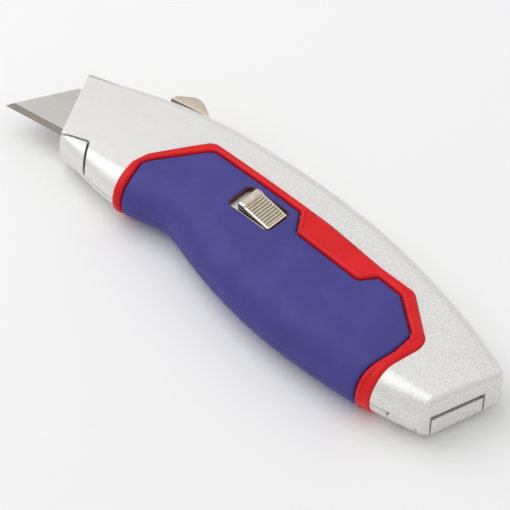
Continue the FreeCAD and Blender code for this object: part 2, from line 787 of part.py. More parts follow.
def make_carriage():
    """Everything that slides with the blade, apart from the thumb slider."""
    make_carrier()
    make_blade("blade", -S["blade_out"], -S["blade_half"])
    middle = number(S["blade_length"] / 2 - S["blade_out"])
    pin_y = number(S["blade_width"] - S["notch_depth"]) + 1.35
    for name, offset in (("front", -0.5), ("rear", 0.5)):
        across = middle + N["notch_pitch"] * offset
        padded(f"locator_pin_{name}", circle(0, 0, 1.25), -S["blade_half"], 1.0,
               Placement(Vector(across, pin_y, 0), Rotation()))
    padded("carrier_magnet", circle(20.0, 9.0, 3.0), -S["carrier_half"] + 0.2, -S["blade_half"])
    up_y = Rotation(Vector(1, 0, 0), -90)
    coil("thumb_spring", 1.0, 0.22, 0.86, 5, Placement(Vector(30.7, 15.9, 0), up_y))


# ---------------------------------------------------------------- base hardware

def make_detent_rail():
    """The notched strip beside the thumb slider's tooth."""
    low, high = 23.2, 25.3
    start, pitch, width, depth = 28.55, 8.6667, 1.9, 1.0
    points = [(21.6, low)]
    for index in range(4):
        left = start + pitch * index
        points += [(left, low), (left + 0.4, low + depth), (left + width - 0.4, low + depth),
                   (left + width, low)]
    points += [(61.0, low), (61.0, high), (21.6, high)]
    body = new_body("detent_rail")
    add_pad(body, "rail_strip", polygon(*points), -4.4, -3.4)
    for index, at in enumerate(RAIL_RIVETS):
        add_pocket(body, f"rail_hole_{index + 1}", circle(*at, S["rivet_radius"]), -5.0, -3.4)
    keep(body)
    for index, at in enumerate(RAIL_RIVETS):
        rivet(f"rail_rivet_{index + 1}", at, -5.5, -3.4, -3.1)


def make_catch():
    """The hooked steel plate on the base that the release latch locks under."""
    floor = -N["cavity_half"]
    flat = Rotation(Vector(1, 0, 0), 90)
    body = new_body("catch_plate")
    low, high = 11.2, 13.6
    add_pad(body, "catch_profile", polygon(
        (4.2, floor), (9.6, floor), (9.6, floor + 0.8), (5.2, floor + 0.8), (5.2, -0.6),
        (2.6, -0.6), (2.6, -1.6), (4.2, -1.6)), low, high)
    drill(body, "catch_hole", CATCH_SCREW[0], -CATCH_SCREW[1])
    keep(body, WINDOW * Placement(Vector(), flat))
    rivet("catch_screw", CATCH_SCREW, floor - 1.1, floor + 0.8, floor + 1.3, WINDOW)


def make_spares():
    """Three spare blades stacked on the base's floor, under a sprung clip."""
    thick = N["blade_half"] * 2
    for index in range(3):
        low = -N["cavity_half"] + thick * index
        middle = Placement(Vector(0, -N["blade_width"] / 2, 0), Rotation())
        make_blade(f"spare_blade_{index + 1}", -S["blade_length"] / 2, low, SPARES * middle)
    floor = -N["cavity_half"]
    top = floor + thick * 3
    body = new_body("spare_clip")
    side = N["blade_width"] / 2
    upright = Placement(Vector(), Rotation(Vector(0, 0, 1), 90)) * Placement(
        Vector(), Rotation(Vector(1, 0, 0), 90))
    add_pad(body, "clip_profile", polygon(
        (side + 0.6, floor), (15.4, floor), (15.4, floor + 0.5), (side + 1.1, floor + 0.5),
        (side + 1.1, top + 0.5), (-3.0, top + 0.5), (-4.5, top + 1.1), (-4.8, top + 0.8),
        (-3.2, top), (side + 0.6, top)), -4.0, 4.0)
    drill(body, "clip_hole", CLIP_SCREW[1], CLIP_SCREW[0])
    keep(body, SPARES * upright)
    rivet("clip_screw", CLIP_SCREW, floor - 1.1, floor + 0.5, floor + 1.0, SPARES)


def make_base_hardware():
    """Everything fixed inside the base."""
    axis_turn = Rotation(Vector(1, 0, 0), -90)
    length = 27.0
    padded("hinge_pin", circle(0, 0, S["pin_radius"]), 0, length,
           HINGE * Placement(Vector(0, -2.4, 0), axis_turn))
    make_detent_rail()
    make_catch()
    make_spares()


# ---------------------------------------------------------------- cover hardware

def make_latch_guide():
    """The plate under the window: floor for the release button and stop for its spring."""
    roof = N["cavity_half"]
    low = roof - N["guide_thick"]
    body = new_body("latch_guide")
    add_pad(body, "guide_plate", rectangle(-12.2, 12.2, -5.6, 5.6), low, roof)
    add_pad(body, "spring_stop", rectangle(-10.0, -9.2, -1.6, 1.6), 2.8, low + 0.1)
    front, rear, half = GUIDE_SLOT
    add_pocket(body, "guide_slot", rectangle(front, rear, -half, half), low, roof)
    for index, at in enumerate(GUIDE_RIVETS):
        add_pocket(body, f"guide_hole_{index + 1}", circle(*at, S["rivet_radius"]), low, roof)
    keep(body, WINDOW)
    for index, at in enumerate(GUIDE_RIVETS):
        rivet(f"guide_rivet_{index + 1}", at, roof + 1.1, low, low - 0.5, WINDOW)


def make_nose_spring():
    """The leaf on the cover that keeps the blade down on its carrier."""
    x, y = SPRING_RIVET
    upright = Placement(Vector(0, y, 0), Rotation(Vector(1, 0, 0), 90))
    body = new_body("nose_spring")
    add_pad(body, "leaf_profile", polygon(
        (x + 2.6, 1.05), (x + 2.6, 0.65), (x - 3.0, 0.65), (x - 9.0, 0.85), (x - 13.0, 0.65),
        (x - 15.0, 1.2), (x - 15.0, 1.6), (x - 13.0, 1.05), (x - 9.0, 1.25),
        (x - 3.0, 1.05)), -3.2, 3.2)
    drill(body, "leaf_hole", x, 0.0)
    keep(body, upright)
    padded("nose_spring_rivet", circle(*SPRING_RIVET, S["rivet_radius"]), 0.65, 2.9)


def make_release():
    """The ribbed release button, its latch and the spring that returns it."""
    upright = WINDOW * Placement(Vector(), Rotation(Vector(1, 0, 0), 90))
    base = N["tray_floor"] + 0.3
    front, rear = -5.1, 7.8
    lip_top, slope_start, slope_end, rear_lip = 11.5, 10.9, 9.0, 9.3
    groove, count = 0.4, 9
    start, stop = front + 3.1, rear - 0.8
    pitch = (stop - start) / count
    points = [(front, base), (rear, base), (rear, rear_lip - 0.3), (rear - 0.2, rear_lip),
              (stop + 0.2, rear_lip)]
    for index in range(count):
        right = stop - pitch * index
        height = slope_end + (slope_start - slope_end) * index / (count - 1)
        points += [(right, height - groove), (right - pitch * 0.25, height),
                   (right - pitch * 0.75, height)]
    points += [(start, slope_start - groove), (start - 0.3, lip_top - 0.15),
               (front + 1.3, lip_top), (front + 0.3, lip_top - 0.5), (front, lip_top - 1.4)]
    body = new_body("release_button")
    add_pad(body, "button_profile", polygon(*points), -4.2, 4.2)
    stem = base + 0.5
    plate_low, plate_high, leg_foot = 3.4, 4.4, -3.4
    add_pad(body, "button_stem", rectangle(-2.0, 2.0, plate_high, stem), -1.5, 1.5)
    peg = 0.7
    add_pad(body, "button_peg", rectangle(-peg, peg, plate_low, stem), -peg, peg)
    keep(body, upright)

    latch = new_body("latch_plate")
    add_pad(latch, "latch_flat", polygon(
        (-3.0, -13.5), (1.0, -13.5), (1.0, -4.0), (3.2, -2.4), (3.2, 2.4), (-3.0, 2.4)),
        plate_low, plate_high)
    add_pad(latch, "latch_leg", rectangle(-3.0, 1.0, -13.5, -12.5), leg_foot, plate_low + 0.1)
    add_pad(latch, "latch_toe", rectangle(-1.0, 2.3, -13.5, -12.5), leg_foot, leg_foot + 1.0)
    add_pocket(latch, "latch_hole", rectangle(-peg, peg, -peg, peg), plate_low, plate_high)
    keep(latch, WINDOW)
    padded("latch_cap", circle(0, 0, 1.5), plate_low - 0.5, plate_low, WINDOW)
    along = Rotation(Vector(0, 1, 0), -90)
    coil("release_spring", 0.62, 0.16, 0.72, 8,
         WINDOW * Placement(Vector(-3.2, 0, 3.65), along))


def make_all():
    make_base_casing()
    make_cover_casing()
    make_skins()
    make_window()
    make_carriage()
    make_thumb_slider()
    make_base_hardware()
    make_latch_guide()
    make_nose_spring()
    make_release()


def place_and_export():
    """Stands the knife on its origin, checks every shape and writes the files."""
    doc.recompute()
    for item, place in nodes.values():
        item.Placement = place
    doc.recompute()
    box = FreeCAD.BoundBox()
    for item, _ in nodes.values():
        box.add(item.Shape.optimalBoundingBox())
    shift = Placement(Vector(-(box.XMin + box.XMax) / 2, -(box.YMin + box.YMax) / 2, -box.ZMin),
                      Rotation())
    print("design origin moved by", shift.Base)
    for item, place in nodes.values():
        item.Placement = shift * place
    doc.recompute()
    for item in doc.Objects:
        if "Invalid" in item.State or "Error" in item.State:
            raise RuntimeError(f"{item.Name} failed")
    os.makedirs("parts", exist_ok=True)
    for label, (item, _) in nodes.items():
        if item.Shape.isNull() or not item.Shape.isValid() or not item.Shape.Solids:
            raise RuntimeError(f"{label} has no valid shape")
        print(label, len(item.Shape.Solids), round(item.Shape.Volume, 2))
        item.Shape.exportStep(f"parts/{label}.step")


make_all()
place_and_export()
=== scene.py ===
"""Looks of the utility knife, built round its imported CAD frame."""
import json
import math

import bpy
import numpy as np
from mathutils import Matrix, Vector
from mathutils.geometry import delaunay_2d_cdt


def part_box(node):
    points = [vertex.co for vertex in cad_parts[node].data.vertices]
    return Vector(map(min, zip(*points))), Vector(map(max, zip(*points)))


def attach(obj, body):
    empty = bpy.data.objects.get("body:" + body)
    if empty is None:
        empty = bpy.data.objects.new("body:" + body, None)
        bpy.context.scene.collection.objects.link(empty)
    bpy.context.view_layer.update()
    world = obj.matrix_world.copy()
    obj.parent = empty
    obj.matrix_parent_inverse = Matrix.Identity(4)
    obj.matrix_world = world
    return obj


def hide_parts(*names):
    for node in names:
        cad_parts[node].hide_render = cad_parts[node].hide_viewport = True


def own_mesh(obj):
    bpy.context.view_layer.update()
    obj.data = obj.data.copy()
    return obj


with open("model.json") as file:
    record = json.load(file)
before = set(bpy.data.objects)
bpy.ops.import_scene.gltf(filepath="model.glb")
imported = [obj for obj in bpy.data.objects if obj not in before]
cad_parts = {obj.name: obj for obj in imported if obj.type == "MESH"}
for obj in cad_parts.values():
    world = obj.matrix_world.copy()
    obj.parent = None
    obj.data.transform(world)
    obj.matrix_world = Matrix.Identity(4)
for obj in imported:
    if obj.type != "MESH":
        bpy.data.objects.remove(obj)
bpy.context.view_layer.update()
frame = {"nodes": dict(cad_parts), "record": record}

MM = 0.001


# ---------------------------------------------------------------- design frame
# The design frame has x = 0 at the nose, y = 0 at the cutting edge and z = 0 at the blade's
# mid-plane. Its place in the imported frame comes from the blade's box.

BLADE_LOW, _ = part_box("blade")
BLADE_OUT, BLADE_HALF, BEVEL = 21.0, 0.3, 2.4
SHIFT = Vector((BLADE_LOW[0] + BLADE_OUT * MM, BLADE_LOW[1], BLADE_LOW[2] + BLADE_HALF * MM))


def to_frame(point):
    """A point of the design frame, in millimetres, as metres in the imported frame."""
    return Vector(point) * MM + SHIFT


# ---------------------------------------------------------------- node helpers

def new_material(name):
    """A material with an empty node tree, its principled shader and its coordinates."""
    material = bpy.data.materials.new(name)
    material.use_nodes = True
    tree = material.node_tree
    tree.nodes.clear()
    output = tree.nodes.new("ShaderNodeOutputMaterial")
    shader = tree.nodes.new("ShaderNodeBsdfPrincipled")
    tree.links.new(shader.outputs["BSDF"], output.inputs["Surface"])
    coords = tree.nodes.new("ShaderNodeTexCoord")
    return material, tree, shader, coords.outputs["Object"]


def stretched(tree, coords, scale):
    """The coordinates scaled along each axis."""
    mapping = tree.nodes.new("ShaderNodeMapping")
    mapping.inputs["Scale"].default_value = scale
    tree.links.new(coords, mapping.inputs["Vector"])
    return mapping.outputs["Vector"]


def noise(tree, coords, scale, detail=2.0, roughness=0.5):
    """Smooth noise from 0 to 1."""
    node = tree.nodes.new("ShaderNodeTexNoise")
    node.inputs["Scale"].default_value = scale
    node.inputs["Detail"].default_value = detail
    node.inputs["Roughness"].default_value = roughness
    tree.links.new(coords, node.inputs["Vector"])
    return node.outputs["Fac"]


def remap(tree, value, low, high, out_low, out_high):
    """The value, with the range from low to high spread over the output's range."""
    node = tree.nodes.new("ShaderNodeMapRange")
    node.inputs["From Min"].default_value = low
    node.inputs["From Max"].default_value = high
    node.inputs["To Min"].default_value = out_low
    node.inputs["To Max"].default_value = out_high
    tree.links.new(value, node.inputs["Value"])
    return node.outputs["Result"]


def ramp(tree, value, stops):
    """A colour that runs through the stops of (place, colour)."""
    node = tree.nodes.new("ShaderNodeValToRGB")
    elements = node.color_ramp.elements
    while len(elements) < len(stops):
        elements.new(0.5)
    for element, (place, colour) in zip(elements, stops):
        element.position = place
        element.color = (*colour, 1.0)
    tree.links.new(value, node.inputs["Fac"])
    return node.outputs["Color"]


def bump(tree, shader, heights):
    """Chains bumps of (height, strength, distance in metres) into the shader's normal."""
    normal = None
    for height, strength, distance in heights:
        node = tree.nodes.new("ShaderNodeBump")
        node.inputs["Strength"].default_value = strength
        node.inputs["Distance"].default_value = distance
        tree.links.new(height, node.inputs["Height"])
        if normal:
            tree.links.new(normal, node.inputs["Normal"])
        normal = node.outputs["Normal"]
    tree.links.new(normal, shader.inputs["Normal"])


def shade(colour, factor):
    """A lighter or darker colour."""
    return tuple(min(1.0, value * factor) for value in colour)


# ---------------------------------------------------------------- materials

# Painted shade: the name of the point attribute that marks where a surface takes a dark painted
# colour in place of shade.
PAINTED_SHADE = "painted_shade"
FINE_GRAIN_X, FULL_GRAIN_X = -0.045, 0.06
BEVEL_BLUR = 0.00015


def silver_paint():
    """Flaked paint over a casting, with its grain stronger towards the butt."""
    material, tree, shader, coords = new_material("silver_paint")
    base = (0.80, 0.795, 0.77)
    place = tree.nodes.new("ShaderNodeSeparateXYZ")
    tree.links.new(coords, place.inputs["Vector"])
    toward_butt = remap(tree, place.outputs["X"], FINE_GRAIN_X, FULL_GRAIN_X, 0.12, 1.0)
    flakes = noise(tree, coords, 2100.0, 2.0, 0.7)
    spread = tree.nodes.new("ShaderNodeMath")
    spread.operation = "MULTIPLY"
    tree.links.new(remap(tree, flakes, 0.3, 0.7, -0.5, 0.5), spread.inputs[0])
    tree.links.new(toward_butt, spread.inputs[1])
    colour = ramp(tree, remap(tree, spread.outputs["Value"], -0.5, 0.5, 0.0, 1.0), (
        (0.0, shade(base, 0.80)), (0.5, base), (1.0, shade(base, 1.16))))
    tree.links.new(colour, shader.inputs["Base Color"])
    shader.inputs["Metallic"].default_value = 0.45
    cloud = noise(tree, coords, 260.0, 4.0)
    tree.links.new(remap(tree, cloud, 0.3, 0.7, 0.36, 0.44), shader.inputs["Roughness"])
    shader.inputs["Coat Weight"].default_value = 0.12
    shader.inputs["Coat Roughness"].default_value = 0.25
    bump(tree, shader, ((spread.outputs["Value"], 0.30, 0.00008), (cloud, 0.05, 0.0003)))
    return material


def rubber(name, base, roughness, grain_scale, depth):
    """Matt rubber with a fine grain and soft, uneven patches."""
    material, tree, shader, coords = new_material(name)
    patches = noise(tree, coords, 90.0, 4.0)
    colour = ramp(tree, patches, ((0.3, shade(base, 0.9)), (0.7, shade(base, 1.1))))
    tree.links.new(colour, shader.inputs["Base Color"])
    grain = noise(tree, coords, grain_scale, 3.0, 0.6)
    tree.links.new(remap(tree, grain, 0.3, 0.7, roughness - 0.05, roughness + 0.07),
                   shader.inputs["Roughness"])
    shader.inputs["Specular IOR Level"].default_value = 0.22
    bump(tree, shader, ((grain, 0.35, depth), (patches, 0.06, 0.0004)))
    return material


def metal(name, base, roughness, brushed, depth, painted_shade=None):
    """A brushed metal; where a mesh's painted shade attribute is 1, it takes the dark colour given
    for that painted shade.
    """
    material, tree, shader, coords = new_material(name)
    streaks = noise(tree, stretched(tree, coords, brushed), 1.0, 4.0, 0.6)
    colour = ramp(tree, streaks, ((0.25, shade(base, 0.9)), (0.75, shade(base, 1.08))))
    if painted_shade:
        mix = tree.nodes.new("ShaderNodeMix")
        mix.data_type = "RGBA"
        amount = tree.nodes.new("ShaderNodeAttribute")
        amount.attribute_name = PAINTED_SHADE
        tree.links.new(amount.outputs["Fac"], mix.inputs["Factor"])
        tree.links.new(colour, mix.inputs["A"])
        mix.inputs["B"].default_value = (*painted_shade, 1)
        colour = mix.outputs["Result"]
    tree.links.new(colour, shader.inputs["Base Color"])
    shader.inputs["Metallic"].default_value = 1.0
    tree.links.new(remap(tree, streaks, 0.3, 0.7, roughness * 0.8, roughness * 1.25),
                   shader.inputs["Roughness"])
    bump(tree, shader, ((streaks, 0.25, depth),))
    return material


def blade_steel():
    """Brushed steel, with a painted dark reflection on the bevel above the cutting edge."""
    material, tree, shader, coords = new_material("blade_steel")
    streaks = noise(tree, stretched(tree, coords, (3200.0, 300.0, 900.0)), 1.0, 4.0, 0.6)
    # The dark colour is a painted reflection for the tilted bevel, not a colour of the steel.
    base, painted_reflection_dark = (0.60, 0.585, 0.555), (0.19, 0.17, 0.15)
    flat = ramp(tree, streaks, ((0.25, shade(base, 0.95)), (0.75, shade(base, 1.04))))
    painted_reflection_ramp = ramp(tree, streaks, ((0.25, shade(painted_reflection_dark, 0.85)), (0.75, shade(painted_reflection_dark, 1.15))))
    place = tree.nodes.new("ShaderNodeSeparateXYZ")
    tree.links.new(coords, place.inputs["Vector"])
    shoulder = BLADE_LOW[1] + BEVEL * MM
    # Below the shoulder, the painted dark reflection takes the place of the flat steel's colour.
    mix = tree.nodes.new("ShaderNodeMix")
    mix.data_type = "RGBA"
    tree.links.new(remap(tree, place.outputs["Y"], shoulder - BEVEL_BLUR, shoulder, 1.0, 0.0),
                   mix.inputs["Factor"])
    tree.links.new(flat, mix.inputs["A"])
    tree.links.new(painted_reflection_ramp, mix.inputs["B"])
    tree.links.new(mix.outputs["Result"], shader.inputs["Base Color"])
    shader.inputs["Metallic"].default_value = 1.0
    tree.links.new(remap(tree, streaks, 0.3, 0.7, 0.28, 0.40), shader.inputs["Roughness"])
    bump(tree, shader, ((streaks, 0.12, 0.00003),))
    return material


def plastic(name, base, roughness):
    """Moulded plastic with a fine grain."""
    material, tree, shader, coords = new_material(name)
    grain = noise(tree, coords, 900.0, 3.0)
    colour = ramp(tree, grain, ((0.3, shade(base, 0.92)), (0.7, shade(base, 1.08))))
    tree.links.new(colour, shader.inputs["Base Color"])
    tree.links.new(remap(tree, grain, 0.3, 0.7, roughness - 0.04, roughness + 0.06),
                   shader.inputs["Roughness"])
    bump(tree, shader, ((grain, 0.2, 0.00006),))
    return material


MATERIALS = {
    "silver_paint": silver_paint(),
    "grip_rubber": rubber("grip_rubber", (0.062, 0.056, 0.268), 0.50, 1500.0, 0.00012),
    "trim_rubber": rubber("trim_rubber", (0.72, 0.010, 0.014), 0.38, 1100.0, 0.00005),
    "blade_steel": blade_steel(),
    "spring_steel": metal("spring_steel", (0.60, 0.60, 0.60), 0.30, (500.0, 2600.0, 900.0),
                          0.00003),
    "carrier_zinc": metal("carrier_zinc", (0.55, 0.55, 0.54), 0.48, (900.0, 900.0, 900.0),
                          0.00006),
    "slider_nickel": metal("slider_nickel", (0.84, 0.73, 0.60), 0.34, (700.0, 700.0, 1500.0),
                           0.00002),
    # The release button's dark brown is painted shade, put in its rib grooves and low on its
    # sides.
    "button_nickel": metal("button_nickel", (0.80, 0.73, 0.60), 0.24, (600.0, 600.0, 900.0),
                           0.00002, painted_shade=(0.030, 0.016, 0.006)),
    "liner_plastic": plastic("liner_plastic", (0.11, 0.003, 0.006), 0.45),
    "magnet": metal("magnet", (0.30, 0.30, 0.31), 0.40, (900.0, 900.0, 900.0), 0.00003),
}


def wear(thing, slot):
    """Gives an object its slot's material."""
    thing.data.materials.clear()
    thing.data.materials.append(MATERIALS[slot])


for entry in frame["record"]["subparts"]:
    wear(frame["nodes"][entry["node"]], entry["material_slot"])


# ---------------------------------------------------------------- the body's surface
# The pieces' sizes are in millimetres in the design frame. One row for each station along the
# body: place, spine, belly, half thickness, belly rounding and spine edge radius.

STATIONS = np.array((
    (-12.0, 21.5, -0.4, 5.0, 2.4, 2.6), (2.0, 25.0, -4.4, 5.6, 2.6, 2.8),
    (12.0, 26.9, -7.6, 6.0, 4.4, 3.0), (22.0, 28.3, -10.5, 6.5, 6.0, 3.0),
    (32.0, 29.0, -12.2, 7.1, 7.5, 3.2), (42.0, 29.2, -11.6, 7.6, 8.5, 3.4),
    (50.0, 28.8, -11.4, 8.0, 9.5, 3.6), (58.0, 28.2, -14.4, 8.3, 10.5, 3.8),
    (68.0, 27.1, -18.9, 8.6, 11.5, 4.0), (80.0, 25.5, -23.3, 8.7, 12.0, 4.0),
    (94.0, 23.0, -27.2, 8.7, 12.0, 4.0), (108.0, 19.7, -29.6, 8.7, 11.5, 4.0),
    (122.0, 15.3, -31.0, 8.6, 10.0, 4.0), (136.0, 10.0, -31.4, 8.4, 8.0, 4.0),
    (150.0, 3.9, -30.3, 8.1, 6.0, 4.0), (170.0, -6.2, -26.6, 7.8, 4.5, 4.0)))
SIDE_CROWN = 0.6
HALF_GAP = 0.05
REST_PLANE = 9.1
SEAT_DEPTH = 1.35
# The outlines' corners are (x, y, corner radius), from the front of the belly round to its rear.
TRIM_OUTER = (
    (31.6, -40.0, 0), (30.3, -6.0, 3.0), (29.9, -1.4, 3.0), (31.9, 3.9, 3.0), (44.9, 18.4, 2.6),
    (47.4, 18.95, 2.6), (93.4, 11.4, 60.0), (115.7, 5.9, 30.0), (127.9, 4.1, 4.0),
    (140.3, -9.2, 4.0), (140.6, -12.6, 5.0), (137.3, -22.4, 12.0), (135.6, -40.0, 0))
TRIM_INNER = (
    (34.6, -40.0, 0), (33.6, -6.6, 3.0), (32.6, -0.4, 3.0), (34.0, 2.0, 3.0), (46.9, 15.0, 2.0),
    (48.9, 15.95, 2.0), (83.9, 10.2, 1.8), (87.7, 2.6, 2.2), (112.3, -2.0, 2.4),
    (116.6, 2.5, 1.6), (125.6, 0.6, 3.0), (136.2, -10.2, 3.5), (135.3, -18.2, 8.0),
    (132.0, -28.4, 10.0), (130.4, -40.0, 0))
WINDOW_PLACE, WINDOW_TURN = np.array((73.2, 3.85)), math.radians(-8.3)
WINDOW_HALF = (8.1, 4.6)
WINDOW_CORNER = 1.6


def spline(places, values, at):
    """Natural cubic interpolation of a table's columns."""
    step = np.diff(places)[:, None]
    slope = np.diff(values, axis=0) / step
    count = len(places)
    system, right = np.eye(count), np.zeros((count, values.shape[1]))
    for i in range(1, count - 1):
        system[i, i - 1:i + 2] = step[i - 1, 0], 2 * (step[i - 1, 0] + step[i, 0]), step[i, 0]
        right[i] = 6 * (slope[i] - slope[i - 1])
    bend = np.linalg.solve(system, right)
    i = np.clip(np.searchsorted(places, at) - 1, 0, count - 2)
    along, step = (at - places[i])[:, None], step[i]
    return (values[i] + along * (slope[i] - step * (2 * bend[i] + bend[i + 1]) / 6)
            + along ** 2 * bend[i] / 2 + along ** 3 * (bend[i + 1] - bend[i]) / (6 * step))


ARC_STEPS = 24
PLACE_STEP, LENGTH_STEP = 0.5, 0.2
SKIN_FRONT, SKIN_REAR = 26.0, 146.0
BELOW_PARTING, SKIN_LENGTH = 1.0, 62.0


def sections(at):
    """The near half of the body's cross-section at each place: y and z of each step."""
    spine, belly, half, belly_round, edge = spline(STATIONS[:, 0], STATIONS[:, 1:], at).T
    t = np.linspace(0, 1, ARC_STEPS)[None, :]
    turn = t * math.pi / 2
    shoulder = (half - SIDE_CROWN)[:, None]
    foot, neck = (belly + belly_round)[:, None], (spine - edge)[:, None]
    spine, belly, half, edge = (item[:, None] for item in (spine, belly, half, edge))
    rise = belly_round[:, None]
    parts = (
        (belly + rise * (1 - np.cos(turn)), half * np.sin(turn)),
        (foot + (neck - foot) * t,
         (1 - t) ** 2 * half + 2 * t * (1 - t) * half + t ** 2 * shoulder),
        (neck + edge * np.sin(turn), shoulder - edge * (1 - np.cos(turn))),
    )
    across = np.concatenate([part[0] for part in parts], 1)
    up = np.concatenate([part[1] for part in parts], 1)
    return np.stack((across, up), -1)


class Skin:
    """The near side of the body, flattened to places along it and arc length from the belly."""

    def __init__(self):
        self.places = np.arange(SKIN_FRONT, SKIN_REAR, PLACE_STEP)
        self.lengths = np.arange(-BELOW_PARTING, SKIN_LENGTH, LENGTH_STEP)
        self.rows = sections(self.places)
        steps = np.linalg.norm(np.diff(self.rows, axis=1), axis=2)
        self.reach = np.concatenate((np.zeros((len(steps), 1)), np.cumsum(steps, 1)), 1)
        self.start = np.array([np.interp(HALF_GAP, row[:ARC_STEPS, 1], reach[:ARC_STEPS])
                               for row, reach in zip(self.rows, self.reach)])
        self.table = np.array([
            np.stack((np.full(len(self.lengths), place),
                      np.interp(self.lengths + start, reach, row[:, 0]),
                      np.interp(self.lengths + start, reach, row[:, 1])), 1)
            for place, start, reach, row in zip(self.places, self.start, self.reach, self.rows)])
        normals = np.cross(np.gradient(self.table, axis=0), np.gradient(self.table, axis=1))
        below = round(BELOW_PARTING / LENGTH_STEP)
        normals[:, :below] = normals[:, below:below + 1]
        self.normals = normals / np.maximum(
            np.linalg.norm(normals, axis=2, keepdims=True), 1e-9)

    def flat(self, x, y):
        """(x, arc length) of a point of the outline; below the parting line it is negative."""
        along = (x - self.places[0]) / PLACE_STEP
        row = int(np.clip(along, 0, len(self.places) - 2))
        ends = []
        for index in (row, row + 1):
            across, reach = self.rows[index, :, 0], self.reach[index]
            length = np.interp(y, across, reach) if y > across[0] else y - across[0]
            ends.append(length - self.start[index])
        return x, float(ends[0] + (ends[1] - ends[0]) * (along - row))

    def points(self, flat, heights):
        """Points raised from the skin along its normal."""
        along = np.clip((flat[:, 0] - self.places[0]) / PLACE_STEP, 0, len(self.places) - 1.01)
        up = np.clip((flat[:, 1] - self.lengths[0]) / LENGTH_STEP, 0, len(self.lengths) - 1.01)
        row, column = along.astype(int), up.astype(int)
        across, rise = (along - row)[:, None], (up - column)[:, None]

        def between(table):
            low = table[row, column] * (1 - across) + table[row + 1, column] * across
            high = table[row, column + 1] * (1 - across) + table[row + 1, column + 1] * across
            return low * (1 - rise) + high * rise

        found = between(self.table) + between(self.normals) * heights[:, None]
        found[:, 2] = np.maximum(found[:, 2], HALF_GAP)
        return found


SKIN = Skin()


# ---------------------------------------------------------------- outlines

EDGE_SPACING, WINDOW_SPACING, BELLY_SPACING = 0.45, 0.35, 0.6
SMALLEST_CORNER = 0.5


def grown(corners, margin):
    """The corners of an open outline, moved to its left by a margin."""
    moved = []
    for index, (x, y, radius) in enumerate(corners):
        here = np.array((x, y))
        before = np.array(corners[max(index - 1, 0)][:2])
        after = np.array(corners[min(index + 1, len(corners) - 1)][:2])
        sides = [step / np.linalg.norm(step) for step in (here - before, after - here)
                 if np.linalg.norm(step) > 0]
        normals = [np.array((-side[1], side[0])) for side in sides]
        middle = sum(normals) / np.linalg.norm(sum(normals))
        place = here + middle * margin / middle.dot(normals[0])
        moved.append((place[0], place[1], max(radius, SMALLEST_CORNER) if radius else 0))
    return moved


def rounded(corners, closed, spacing=EDGE_SPACING):
    """Points along an outline with its corners rounded."""
    count = len(corners)
    points = []
    for index, (x, y, radius) in enumerate(corners):
        here = np.array((x, y))
        if radius == 0 or (not closed and index in (0, count - 1)):
            points.append(here)
            continue
        before = np.array(corners[index - 1][:2]) - here
        after = np.array(corners[(index + 1) % count][:2]) - here
        before, after = before / np.linalg.norm(before), after / np.linalg.norm(after)
        half = math.acos(np.clip(before.dot(after), -1, 1)) / 2
        middle = before + after
        centre = here + middle / np.linalg.norm(middle) * radius / math.sin(half)
        sweep = math.pi - 2 * half
        steps = max(int(radius * sweep / spacing), 3)
        first = here + before * radius / math.tan(half) - centre
        side = here + after * radius / math.tan(half) - centre
        for step in range(steps + 1):
            share = step / steps
            points.append(centre + (math.sin((1 - share) * sweep) * first
                                    + math.sin(share * sweep) * side) / math.sin(sweep))
    return spaced(points, closed, spacing)


def spaced(points, closed, spacing):
    """The same outline with no step longer than the spacing."""
    found = []
    pairs = list(zip(points, points[1:])) + ([(points[-1], points[0])] if closed else [])
    for start, stop in pairs:
        steps = max(int(math.ceil(np.linalg.norm(stop - start) / spacing)), 1)
        found += [start + (stop - start) * step / steps for step in range(steps)]
    return found if closed else found + [points[-1]]


def clipped(chain):
    """An open outline on the flattened skin, cut off at the parting line."""
    flat = [np.array(SKIN.flat(x, y)) for x, y in chain]
    found = []
    for before, after in zip(flat, flat[1:]):
        if (before[1] > 0) != (after[1] > 0):
            share = before[1] / (before[1] - after[1])
            found.append(before + (after - before) * share)
        if after[1] > 0:
            found.append(after)
    return found


def from_window(points):
    """Points of the window's own plane as (x, y) of the design frame."""
    turn = np.array(((math.cos(WINDOW_TURN), math.sin(WINDOW_TURN)),
                     (-math.sin(WINDOW_TURN), math.cos(WINDOW_TURN))))
    return [WINDOW_PLACE + point @ turn for point in points]


def window_loop(margin):
    """The window's outline on the flattened skin, grown by a margin."""
    along, across = WINDOW_HALF[0] + margin, WINDOW_HALF[1] + margin
    radius = WINDOW_CORNER + margin
    corners = ((-along, -across, radius), (along, -across, radius),
               (along, across, radius), (-along, across, radius))
    loop = from_window(rounded(corners, True, WINDOW_SPACING))
    return [np.array(SKIN.flat(x, y)) for x, y in loop]


# ---------------------------------------------------------------- meshes

RING_TOLERANCE, EDGE_CLEAR, SMALLEST_STEP = 0.02, 0.06, 0.09
RUBBER_SHARP, BUTTON_SHARP = 40.0, 50.0


def distances(points, chain, closed=False):
    """The distance from each flat point to a chain of segments."""
    chain = np.array(chain)
    stops = np.roll(chain, -1, 0) if closed else chain[1:]
    starts = chain if closed else chain[:-1]
    best = np.full(len(points), 1e9)
    for start, stop in zip(starts, stops):
        step = stop - start
        share = np.clip((points - start) @ step / max(step @ step, 1e-12), 0, 1)
        gap = points - start - share[:, None] * step
        best = np.minimum(best, np.einsum("ij,ij->i", gap, gap))
    return np.sqrt(best)


def inside(points, loop):
    """Which flat points lie inside a closed loop."""
    odd = np.zeros(len(points), bool)
    for start, stop in zip(loop, loop[1:] + loop[:1]):
        crosses = (start[1] > points[:, 1]) != (stop[1] > points[:, 1])
        rise = stop[1] - start[1]
        if abs(rise) > 1e-12:
            at = start[0] + (points[:, 1] - start[1]) * (stop[0] - start[0]) / rise
            odd ^= crosses & (points[:, 0] < at)
    return odd


